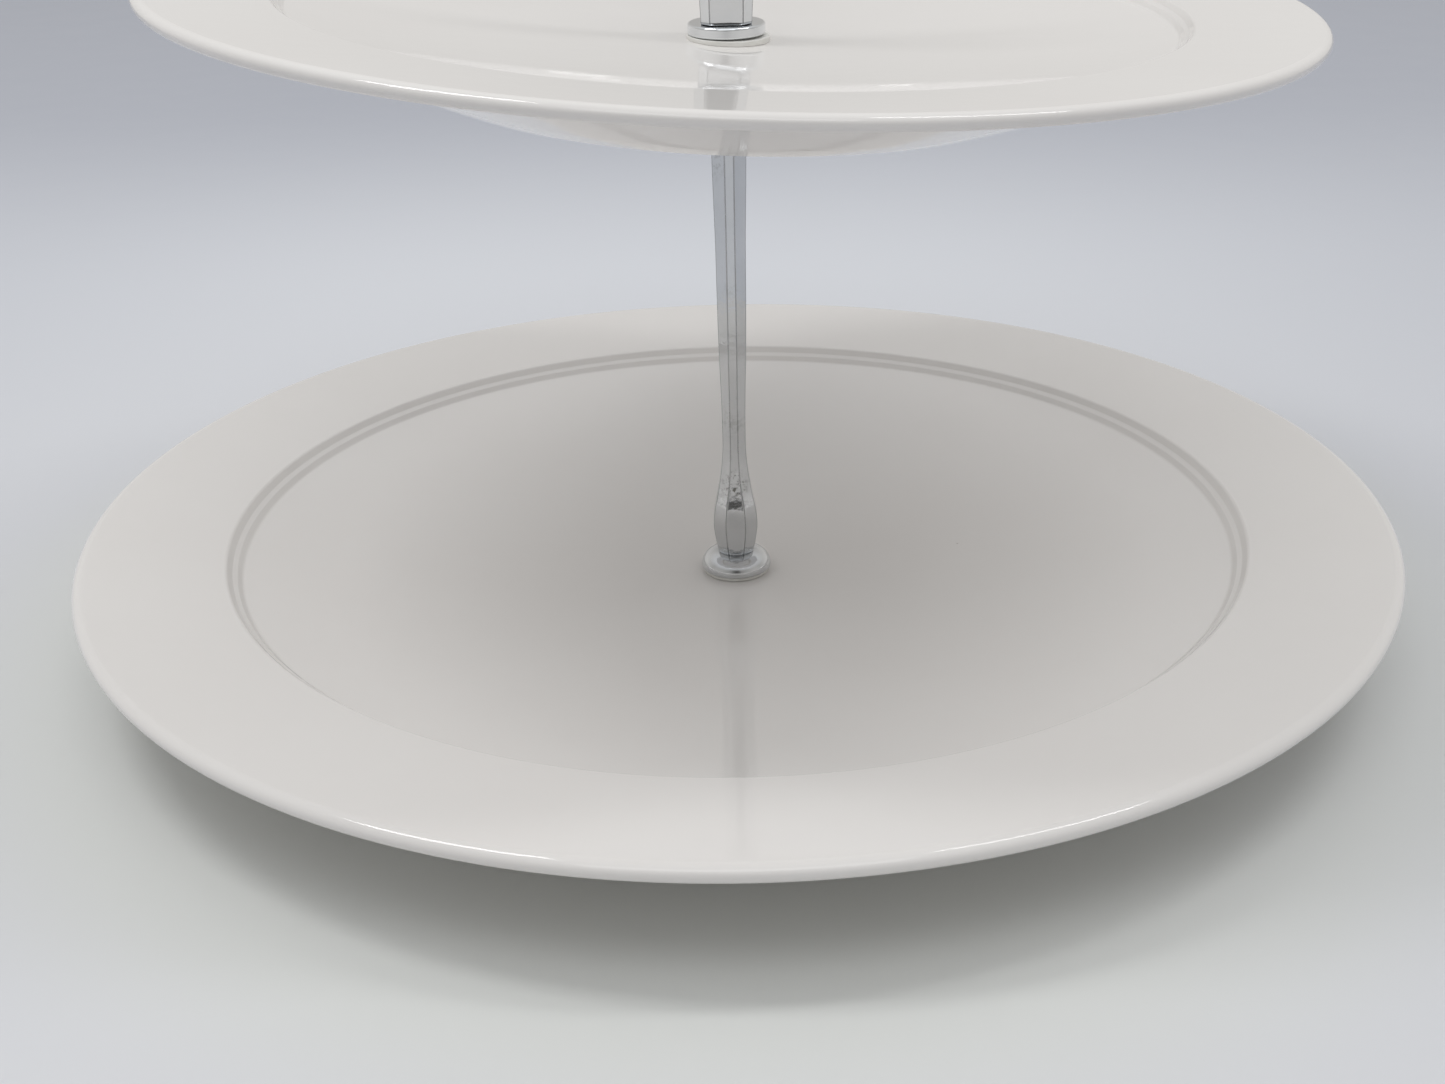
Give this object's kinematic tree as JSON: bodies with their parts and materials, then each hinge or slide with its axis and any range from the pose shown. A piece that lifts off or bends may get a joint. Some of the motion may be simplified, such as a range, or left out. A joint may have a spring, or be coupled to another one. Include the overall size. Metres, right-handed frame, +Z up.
{
  "type": "tiered cake stand",
  "caption": "Tiered cake stand: glazed porcelain plates, the upper one smaller, clamped on a faceted chrome column topped by a ring handle.",
  "frame": {"origin": "centre of the lower plate's foot ring, on the surface the stand rests on; the column's axis is the Z axis", "axes": "+Z up along the column; +X to the right seen from the front, towards the side the upper plate is tipped to; +Y away from the viewer; the handle's ring lies in the XZ plane"},
  "size_m": [0.32, 0.32, 0.2549],
  "materials": {
    "porcelain": "glossy warm white glaze over porcelain, unglazed foot ring",
    "chrome": "bright chrome plate on cast metal",
    "steel": "zinc-plated steel",
    "soft_washer": "soft white plastic"
  },
  "bodies": {
    "lower_tier": {"lower_plate": "porcelain", "base_soft_washer": "soft_washer", "foot_soft_washer": "soft_washer"},
    "column": {"lower_rod": "chrome", "rod_stud": "steel", "seat_metal_washer": "steel"},
    "upper_seat": {"seat_soft_washer": "soft_washer"},
    "upper_tier": {"upper_plate": "porcelain", "upper_soft_washer": "soft_washer"},
    "handle_swivel": {"handle_disc": "chrome"},
    "handle": {"handle_stem": "chrome", "handle_collar": "chrome", "handle_ring": "chrome"},
    "base_swivel": {"base_metal_washer": "steel"},
    "base_fastener": {"base_screw": "steel"}
  },
  "joints": [
    {"name": "column_turn", "type": "hinge", "parent": "lower_tier", "child": "column", "pos_m": [0, 0, 0.011], "axis": [0, 0, 1], "continuous": true},
    {"name": "upper_plate_turn", "type": "hinge", "parent": "column", "child": "upper_seat", "pos_m": [0, 0, 0.136], "axis": [0, 0, 1], "continuous": true},
    {"name": "upper_plate_rock", "type": "hinge", "parent": "upper_seat", "child": "upper_tier", "pos_m": [0, 0, 0.1426], "axis": [0, 1, 0], "range_deg": [-3.2, 0]},
    {"name": "handle_unscrew", "type": "hinge", "parent": "handle_swivel", "child": "handle", "pos_m": [0, 0, 0.1467], "axis": [0, 0, 1], "range_deg": [0, 2880]},
    {"name": "handle_lift", "type": "slide", "parent": "column", "child": "handle_swivel", "axis": [0, 0, 1], "range_m": [0, 0.0064]},
    {"name": "base_screw_unscrew", "type": "hinge", "parent": "base_swivel", "child": "base_fastener", "pos_m": [0, 0, 0.0027], "axis": [0, 0, -1], "range_deg": [0, 2880]},
    {"name": "base_screw_drop", "type": "slide", "parent": "column", "child": "base_swivel", "axis": [0, 0, -1], "range_m": [0, 0.0064]}
  ],
  "couplings": [
    {"joint": "handle_unscrew", "follows": "handle_lift", "rad_per_m": 7854},
    {"joint": "base_screw_unscrew", "follows": "base_screw_drop", "rad_per_m": 7854}
  ]
}
